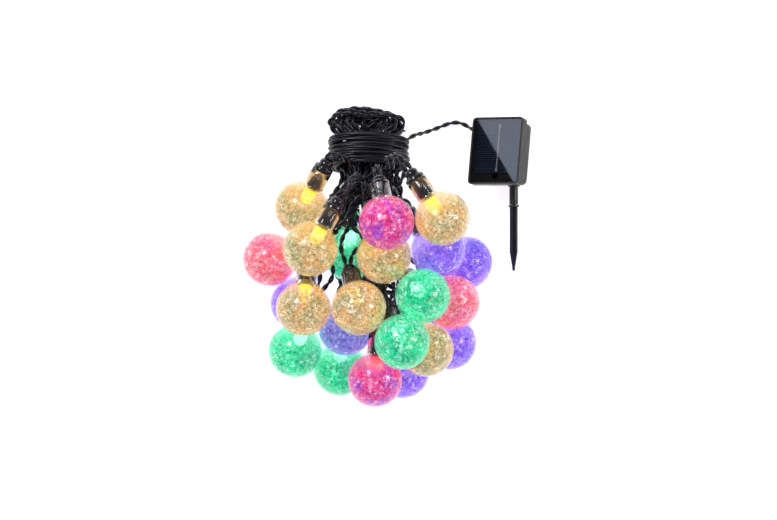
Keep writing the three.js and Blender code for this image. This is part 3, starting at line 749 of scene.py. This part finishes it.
def winding_line():
    """The lead round the hank: its turns go down outside, then back up inside them."""
    shake = random.Random(11)
    lean = [(shake.uniform(-1, 1), shake.uniform(0, 2 * math.pi), shake.uniform(-1, 1))
            for _ in range(2 * TURNS + 2)]
    steps = 60
    start_turn = 0.35
    line = []
    for layer, half in enumerate((OUTER_HALF, INNER_HALF)):
        for step in range(TURNS * steps + 1):
            turns = step / steps
            height = (TURNS - turns if layer == 0 else turns) * TURN_PITCH + 1.1 * MM
            height = min(max(height, 1.75 * MM), WINDING_HEIGHT - 1.75 * MM)
            index = layer * TURNS + int(turns)
            blend = turns - int(turns)
            tilt = lean[index][0] * (1 - blend) + lean[index + 1][0] * blend
            swell = lean[index][2] * (1 - blend) + lean[index + 1][2] * blend
            angle = start_turn - 2 * math.pi * (turns + layer * TURNS)
            grow = 1 + (0.03 * swell if layer == 0 else 0)
            line.append([half[0] * grow * math.cos(angle),
                         height + 0.8 * MM * tilt * math.sin(angle + lean[int(turns)][1]),
                         half[1] * grow * math.sin(angle)])
    return np.array(line)


def lead_line():
    """The whole lead: out of its gland, round the hank, down through it and on to the first bulb."""
    wound = winding_line()
    end, end_axis = holder_exit(FIRST_BULB, -1)
    stretch = [np.array(place) * MM for place in LEAD_STRETCH]
    free = [GLAND_INSIDE, GLAND_MOUTH] + [HANK_BASE + place for place in stretch]
    route = np.vstack([free, from_hank(wound)])
    last = to_hank(route[-1:])[0]
    inside = [[last[0] * 0.8, last[1] + 2 * MM, last[2] * 0.6],
              [12 * MM, WINDING_HEIGHT - 1 * MM, 2 * MM],
              [8 * MM, 12 * MM, 4 * MM], [6 * MM, -6 * MM, 5 * MM]]
    tail = np.vstack([from_hank(inside), [end + end_axis * 16 * MM, end + end_axis * 7 * MM, end]])
    whole = np.vstack([route, tail])
    return rounded(resampled(whole, int(line_length(whole) / (2 * MM))), 6)


def strand_mesh(name, line, diameter, lays, sides=8, phase=0.0):
    """Two round wires twisted about the line, as one mesh. lays lists (metres along, lay there)."""
    wire = diameter / 4
    points = resampled(line, max(8, int(line_length(line) / LINE_STEP)))
    tangent = np.gradient(points, axis=0)
    tangent /= np.linalg.norm(tangent, axis=1, keepdims=True)
    normal = np.cross(tangent[0], [0.3, 0.2, 1])
    normals = []
    for direction in tangent:
        normal = normal - direction * (normal @ direction)
        normal = normal / np.linalg.norm(normal)
        normals.append(normal)
    normals = np.array(normals)
    binormals = np.cross(tangent, normals)
    along = distances_along(points)
    marks, lay_there = zip(*lays)
    twist = 2 * math.pi / np.interp(along, marks, lay_there)
    turn = np.concatenate([[0], np.cumsum(np.diff(along) * twist[1:])]) + phase
    vertices, faces = [], []
    for wire_turn in (0, math.pi):
        angle = turn + wire_turn
        side = np.cos(angle)[:, None] * normals + np.sin(angle)[:, None] * binormals
        centre = points + wire * side
        first = sum(len(v) for v in vertices)
        rings = []
        for k in range(sides):
            around = 2 * math.pi * k / sides
            rings.append(centre + wire * (math.cos(around) * normals + math.sin(around) * binormals))
        rings = np.stack(rings, axis=1).reshape(-1, 3)
        vertices.append(rings)
        count = len(points)
        ring = np.arange(count - 1)[:, None] * sides + first
        here = np.arange(sides)[None]
        after = (here + 1) % sides
        corners = [ring + here, ring + after, ring + sides + after, ring + sides + here]
        quads = np.stack(corners, axis=2)
        faces += quads.reshape(-1, 4).tolist()
        faces.append([first + k for k in range(sides)][::-1])
        faces.append([first + (count - 1) * sides + k for k in range(sides)])
    mesh = bpy.data.meshes.new(name)
    mesh.from_pydata(np.vstack(vertices).tolist(), [], faces)
    mesh.polygons.foreach_set("use_smooth", [True] * len(mesh.polygons))
    return mesh


def smooth_line(points):
    """A curve through the points (Catmull-Rom), with its own points about LINE_STEP apart."""
    points = np.asarray(points)
    before = np.vstack([2 * points[0] - points[1], points, 2 * points[-1] - points[-2]])
    curve = []
    for a, b, c, d in zip(before[:-3], before[1:-2], before[2:-1], before[3:]):
        for t in np.linspace(0, 1, 6, endpoint=False):
            curve.append(0.5 * (2 * b + (c - a) * t + (2 * a - 5 * b + 4 * c - d) * t ** 2
                                + (3 * b - a - 3 * c + d) * t ** 3))
    curve.append(points[-1])
    return resampled(curve, int(line_length(curve) / LINE_STEP) + 1)


def eased(line, radius):
    """The line with each bend tighter than the radius opened out; its ends stay where they are."""
    step = 2 * MM
    reach = 4
    ends = 3
    line = resampled(line, int(line_length(line) / step))
    for turn in range(240):
        along = distances_along(line)
        arc = along[2 * reach:] - along[:-2 * reach]
        chord = np.linalg.norm(line[2 * reach:] - line[:-2 * reach], axis=1)
        tight = np.flatnonzero(chord < 2 * radius * np.sin(arc / (2 * radius))) + reach
        if not len(tight):
            break
        moving = np.zeros(len(line), bool)
        for offset in range(-reach, reach + 1):
            moving[np.clip(tight + offset, ends, len(line) - 1 - ends)] = True
        mean = (line[:-2] + line[2:]) / 2
        inner = moving[1:-1]
        line[1:-1][inner] += 0.5 * (mean - line[1:-1])[inner]
        if turn % 12 == 11:
            line = resampled(line, int(line_length(line) / step))
    return line


def add_cord(name, line, diameter, lays, replaced, phase):
    """A twisted pair along the line, as a piece on the root body standing for the CAD nodes replaced.
    """
    mesh = strand_mesh(name, line, diameter, lays, phase=phase)
    piece = add_piece(name, mesh, [CORD_BLACK], "root", replaced)


def fuller_fold(line):
    """The cord with its fold above the winding wider and squarer, as folds bulge when bound."""
    local = to_hank(line)
    rise = np.clip(local[:, 1] - WINDING_HEIGHT, 0, None)
    grown = 1 + 0.2 * np.clip(rise / (7 * MM), 0, 1)
    angle = np.arctan2(rise / (FOLD_TOP - WINDING_HEIGHT), np.abs(local[:, 0]) / FOLD_HALF_WIDTH)
    square = 1 / (np.cos(angle) ** DOME_POWER + np.sin(angle) ** DOME_POWER) ** (1 / DOME_POWER)
    local[:, 0] *= grown * square
    local[:, 2] *= grown
    local[:, 1] += rise * (square - 1)
    grown_line = from_hank(local)
    grown_line[:, 2] = np.maximum(grown_line[:, 2], CORD_DIAMETER / 2 + 0.2 * MM)
    return grown_line


def build_cords():
    """One cord from each bulb to the next, then the lead."""
    for index, points in enumerate(settle_cords(fitted_to_length(start_lines()))):
        line = fuller_fold(smooth_line(points))
        add_cord(f"string_cord_{index + 1:02d}", line, CORD_DIAMETER, [(0, 16 * MM)],
                 ["bulb_cords", "cord_hank"] if index == 0 else [], 0.7 * index)
    lead = smooth_line(eased(lead_line(), TIGHTEST_BEND))
    # twisted where it runs free, its two wires nearly side by side where it is wound
    lays = [(0, 15 * MM), (0.09, 15 * MM), (0.13, 90 * MM), (1.9, 90 * MM), (2.0, 16 * MM)]
    add_cord("lead_cord_piece", lead, LEAD_DIAMETER, lays, ["lead_cord", "lead_winding"], 0.3)


build_cords()

# ---------------------------------------------------------------- bulbs


def arc(radius, from_deg, to_deg, steps):
    """Profile points round the globe's centre."""
    angles = [math.radians(from_deg + (to_deg - from_deg) * k / steps) for k in range(steps + 1)]
    return [(radius * math.cos(a), radius * math.sin(a)) for a in angles]


def globe_profile():
    """Outer wall from the sleeve's end down to the pole, then the inner wall back up."""
    wall = 1.2 * MM
    inner = GLOBE_RADIUS - wall
    fillet = 1.4 * MM
    outer_neck = math.degrees(math.acos((SLEEVE_RADIUS + fillet) / GLOBE_RADIUS))
    inner_neck = math.degrees(math.acos(SLEEVE_BORE / inner))
    lip = 0.35 * MM
    sleeve_foot = GLOBE_RADIUS * math.sin(math.radians(outer_neck)) + 1.5 * MM
    outer = [(SLEEVE_BORE, SLEEVE_END - lip), (SLEEVE_BORE + lip, SLEEVE_END),
             (SLEEVE_RADIUS - lip, SLEEVE_END), (SLEEVE_RADIUS, SLEEVE_END - lip),
             (SLEEVE_RADIUS, sleeve_foot + 1.2 * MM), (SLEEVE_RADIUS + 0.3 * MM, sleeve_foot)]
    outer += arc(GLOBE_RADIUS, outer_neck, -90, 26)
    outer[-1] = (0, -GLOBE_RADIUS)
    return outer + [(0, -inner)] + arc(inner, -90, inner_neck, 24)[1:]


def holder_profile():
    """From the cord end down: stepped end, grooved body, flange, then the plug in the sleeve."""
    flange = SLEEVE_END + 0.3 * MM
    return [(0, HOLDER_END), (2.6 * MM, HOLDER_END), (3.6 * MM, HOLDER_END - 0.5 * MM),
            (4.6 * MM, HOLDER_END - 1.6 * MM), (5.2 * MM, HOLDER_END - 3 * MM),
            (5.2 * MM, flange + 5.4 * MM), (4.8 * MM, flange + 5.1 * MM), (4.8 * MM, flange + 4.5 * MM),
            (5.2 * MM, flange + 4.2 * MM), (5.6 * MM, flange + 3.2 * MM), (6.8 * MM, flange + 2.8 * MM),
            (7.2 * MM, flange + 2.3 * MM), (7.2 * MM, flange + 0.3 * MM), (6.9 * MM, flange),
            (HOLDER_RADIUS, flange), (HOLDER_RADIUS, 25 * MM),
            (5.6 * MM, 24.7 * MM), (5.6 * MM, 23.3 * MM),
            (HOLDER_RADIUS, 23 * MM), (HOLDER_RADIUS, 17.6 * MM), (5.3 * MM, LED_FOOT), (0, LED_FOOT)]


def led_profile():
    """A capsule with a round tip."""
    tip = [(4.7 * MM * math.sin(math.radians(a)), 9 * MM - 5 * MM * math.cos(math.radians(a)))
           for a in range(90, -1, -15)]
    tip[-1] = (0, LED_TIP)
    return [(0, 16.8 * MM), (4.7 * MM, 16.8 * MM)] + tip


def mark_mesh(name, place):
    """The small oval moulding mark on a holder's side."""
    bm = bmesh.new()
    oval = Matrix.Diagonal((1.5 * MM, 2.4 * MM, 0.3 * MM, 1))
    flat = Matrix.Translation((0, 29 * MM, HOLDER_RADIUS)) @ oval
    bmesh.ops.create_uvsphere(bm, u_segments=16, v_segments=8, radius=1, matrix=place @ flat)
    for face in bm.faces:
        face.smooth = True
    return mesh_from(bm, name)


def build_bulb(number, colour, palette):
    """A globe with its sleeve, the holder, the LED and the mark, all in the bulb's own frame."""
    label = f"{number:02d}"
    body = LIFTING.get(number, "root")
    centre, axis = BULBS[number]
    place = axis_frame(centre, axis)
    flat = Matrix.Identity(4)
    shell_material = crackled(f"crackle_{label}", palette, number)

    def neck_part(point):
        return 1 if point.y > 19.2 * MM else 0

    parts = [
        ("globe", lathe_mesh(f"globe_{label}_shell", globe_profile(), 48, flat, 60, neck_part),
         GLOBE_SLOTS[colour], [f"globe_{label}"], [shell_material, SLEEVE_CLEAR]),
        ("holder", lathe_mesh(f"holder_{label}", holder_profile(), 32, flat),
         "bulb_holder", [f"socket_{label}"], [HOLDER_BLACK]),
        ("led", lathe_mesh(f"led_{label}", led_profile(), 24, flat),
         GLOBE_SLOTS[colour], [], [glowing(f"led_glow_{label}", palette)]),
        ("mark", mark_mesh(f"mark_{label}", flat), "bulb_holder", [], [MARK_GREY]),
    ]
    for kind, mesh, slot, stands_for, materials in parts:
        add_piece(f"{kind}_{label}_piece", mesh, materials, body, stands_for, place)


for colour, numbers in BULB_COLOURS.items():
    for number in numbers:
        build_bulb(number, colour, PALETTES[colour])

# ---------------------------------------------------------------- the solar unit


def finish_cad(name, materials, bevel=0.3, segments=2):
    """A CAD node kept as it is, with its edges eased and its finish."""
    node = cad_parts[name]
    node.data.materials.clear()
    for material in materials:
        node.data.materials.append(material)
    if bevel:
        ease = node.modifiers.new("eased_edges", "BEVEL")
        ease.width = bevel * MM
        ease.segments = segments
        ease.limit_method = "ANGLE"
        ease.angle_limit = math.radians(40)


def cell_silicon():
    """Dark blue silicon with its mottled grain."""
    material, nodes, links, bsdf = new_material("cell_silicon")
    vector = object_coords(nodes, links)
    grain = ramp(nodes, links, noise(nodes, links, vector, 240, 3),
                 [(0.35, (0.010, 0.028, 0.075)), (0.65, (0.018, 0.045, 0.115))])
    links.new(grain, bsdf.inputs["Base Color"])
    set_inputs(bsdf, {"Roughness": 0.5, "Specular IOR Level": 0.2})
    bump(nodes, links, noise(nodes, links, vector, 900, 2), 0.05, 0.0001, bsdf)
    return material


def cover_clear():
    """The clear cover: the cell is seen through it, under a mirror gloss."""
    material, nodes, links, bsdf = new_material("cover_clear")
    vector = object_coords(nodes, links)
    haze = ramp(nodes, links, noise(nodes, links, vector, 90, 2),
                [(0.35, (0.01, 0.01, 0.01)), (0.7, (0.02, 0.02, 0.02))])
    links.new(haze, bsdf.inputs["Roughness"])
    set_inputs(bsdf, {"Base Color": (0.42, 0.45, 0.5, 1), "Metallic": 1.0, "Alpha": 0.36})
    return material


def panel_boxes(name, boxes, materials, bevel=0.0):
    """Slabs on the panel as one piece: (across, up, width, height, front depth, back depth) each."""
    bm = bmesh.new()
    for across, up, width, height, front, back in boxes:
        corners = []
        for depth in (front, back):
            for x, y in ((-1, -1), (1, -1), (1, 1), (-1, 1)):
                place = on_panel(across + x * width / 2, up + y * height / 2, depth)
                corners.append(bm.verts.new(place))
        sides = [(0, 1, 2, 3), (7, 6, 5, 4), (0, 4, 5, 1), (1, 5, 6, 2), (2, 6, 7, 3), (3, 7, 4, 0)]
        for side in sides:
            bm.faces.new([corners[k] for k in side])
    bmesh.ops.recalc_face_normals(bm, faces=bm.faces)
    if bevel:
        bmesh.ops.bevel(bm, geom=list(bm.edges), offset=bevel * MM, segments=2, affect="EDGES")
    add_piece(name, mesh_from(bm, name), materials, "root")


CELL_SIZE = (35.6, 38.0)
CELL_MIDDLE = (0.7, 2.1)
CELL_FRONT = 1.5
# the printed lines reach just into the cell
CELL_LINE_BACK = CELL_FRONT + 0.02
FINGER_COUNT = 24
finish_cad("panel_bezel", [CASE_BLACK], 0.7, 3)
finish_cad("rear_case", [CASE_BLACK], 0.5, 2)
finish_cad("panel_cover", [cover_clear()], 0.2, 2)
finish_cad("solar_cell", [cell_silicon()], 0.1, 1)
BATTERY_WRAP = moulded_plastic("battery_wrap", (0.03, 0.24, 0.1), 0.35)
BOARD_GREEN = moulded_plastic("board_green", (0.02, 0.14, 0.05), 0.4)
finish_cad("battery_cell", [BATTERY_WRAP], 0.2, 2)
finish_cad("circuit_board", [BOARD_GREEN], 0.1, 1)
finish_cad("power_button", [BUTTON_BLACK], 0.3, 3)
finish_cad("cable_gland", [BUTTON_BLACK], 0.25, 2)
finish_cad("pivot_screw", [STEEL], 0.25, 2)
for part in ("tilt_bracket", "stake_tube", "ground_spike"):
    finish_cad(part, [CASE_BLACK], 0.3, 2)

fingers = []
for k in range(FINGER_COUNT):
    up = CELL_MIDDLE[1] + CELL_SIZE[1] * ((k + 0.5) / FINGER_COUNT - 0.5)
    fingers.append((CELL_MIDDLE[0], up, CELL_SIZE[0] - 1.2, 0.3, CELL_FRONT - 0.05, CELL_LINE_BACK))
FINGER_GREY = moulded_plastic("finger_grey", (0.08, 0.12, 0.2), 0.5)
panel_boxes("cell_fingers", fingers, [FINGER_GREY])
gaps = [(CELL_MIDDLE[0], CELL_MIDDLE[1] + CELL_SIZE[1] * share, CELL_SIZE[0] - 0.4, 0.5,
         CELL_FRONT - 0.09, CELL_LINE_BACK) for share in (-0.25, 0.0, 0.25)]
GAP_DARK = moulded_plastic("cell_gap_dark", (0.004, 0.006, 0.012), 0.5)
panel_boxes("cell_strip_gaps", gaps, [GAP_DARK])
busbar_across = CELL_MIDDLE[0] + 0.6
busbar_end = CELL_SIZE[1] / 2 - 2.6
busbar = [(busbar_across, CELL_MIDDLE[1], 1.0, CELL_SIZE[1] - 2.6, CELL_FRONT - 0.14, CELL_LINE_BACK)]
busbar += [(busbar_across, CELL_MIDDLE[1] + side * busbar_end, 1.7, 2.4,
            CELL_FRONT - 0.16, CELL_LINE_BACK) for side in (-1, 1)]
panel_boxes("cell_busbar", busbar, [SILVER])


# ---------------------------------------------------------------- surface and light


def flat_quad(name, corners, material):
    """A flat stage surface."""
    mesh = bpy.data.meshes.new(name)
    mesh.from_pydata([tuple(corner) for corner in corners], [], [(0, 1, 2, 3)])
    mesh.materials.append(material)
    piece = bpy.data.objects.new(name, mesh)
    scene.collection.objects.link(piece)
    return piece


floor_material, *_, floor_bsdf = new_material("pale_floor")
set_inputs(floor_bsdf, {"Base Color": (0.9, 0.9, 0.9, 1), "Roughness": 0.9,
                        "Emission Color": (1, 1, 1, 1), "Emission Strength": 0.8})
FLOOR_HALF = 3
FLOOR_Z = -0.0002
floor_corners = [(FLOOR_HALF * x, FLOOR_HALF * y, FLOOR_Z)
                 for x, y in ((-1, -1), (1, -1), (1, 1), (-1, 1))]
flat_quad("floor", floor_corners, floor_material)

# a soft box and a black flag that meet in one edge, which the cover mirrors from corner to corner
CARD_DISTANCE = 1.4
CARD_DEPTH = 0.4
CARD_PAST_EDGE = 0.3


def reflected_from(across, up):
    """Where a look from the camera goes, mirrored by the cover at that place."""
    place = on_panel(across, up, 0.3)
    look = place - np.array(camera.location)
    look /= np.linalg.norm(look)
    return place + CARD_DISTANCE * (look - 2 * (look @ PANEL_OUT) * PANEL_OUT)


upper_left = reflected_from(-17, 23)
lower_right = reflected_from(16.5, -23)
upper_right = reflected_from(18, 23)
edge = (lower_right - upper_left) / np.linalg.norm(lower_right - upper_left)
beyond = (upper_right - upper_left) - ((upper_right - upper_left) @ edge) * edge
beyond /= np.linalg.norm(beyond)
card_material, *_, card_bsdf = new_material("soft_box")
set_inputs(card_bsdf, {"Base Color": (0, 0, 0, 1), "Emission Color": (0.86, 0.9, 1, 1),
                       "Emission Strength": 0.62})
flag_material, *_, flag_bsdf = new_material("black_flag")
set_inputs(flag_bsdf, {"Base Color": (0, 0, 0, 1), "Specular IOR Level": 0})
low, high = upper_left - CARD_PAST_EDGE * edge, lower_right + CARD_PAST_EDGE * edge
for name, side, material in (("soft_box", 1, card_material), ("black_flag", -1, flag_material)):
    depth = CARD_DEPTH * side * beyond
    card = flat_quad(name, [low, high, high + depth, low + depth], material)
    for ray in ("camera", "diffuse", "shadow", "transmission"):
        setattr(card, f"visible_{ray}", False)

world = bpy.data.worlds.new("studio")
world.use_nodes = True
background = world.node_tree.nodes["Background"]
set_inputs(background, {"Color": (1, 1, 1, 1), "Strength": 0.25})
scene.world = world
scene.view_settings.view_transform = "Standard"


def soft_light(name, location, target, size, power):
    """A square area light turned to its target."""
    data = bpy.data.lights.new(name, "AREA")
    data.shape = "SQUARE"
    data.size = size
    data.energy = power
    light = bpy.data.objects.new(name, data)
    light.location = location
    light.rotation_euler = (Vector(target) - Vector(location)).to_track_quat("-Z", "Y").to_euler()
    scene.collection.objects.link(light)


soft_light("key_light", (-0.5, 0.5, 0.9), (0, 0, 0.05), 0.3, 5)
soft_light("side_light", (0.9, 0.1, 0.7), (0, 0, 0.05), 0.25, 2.5)
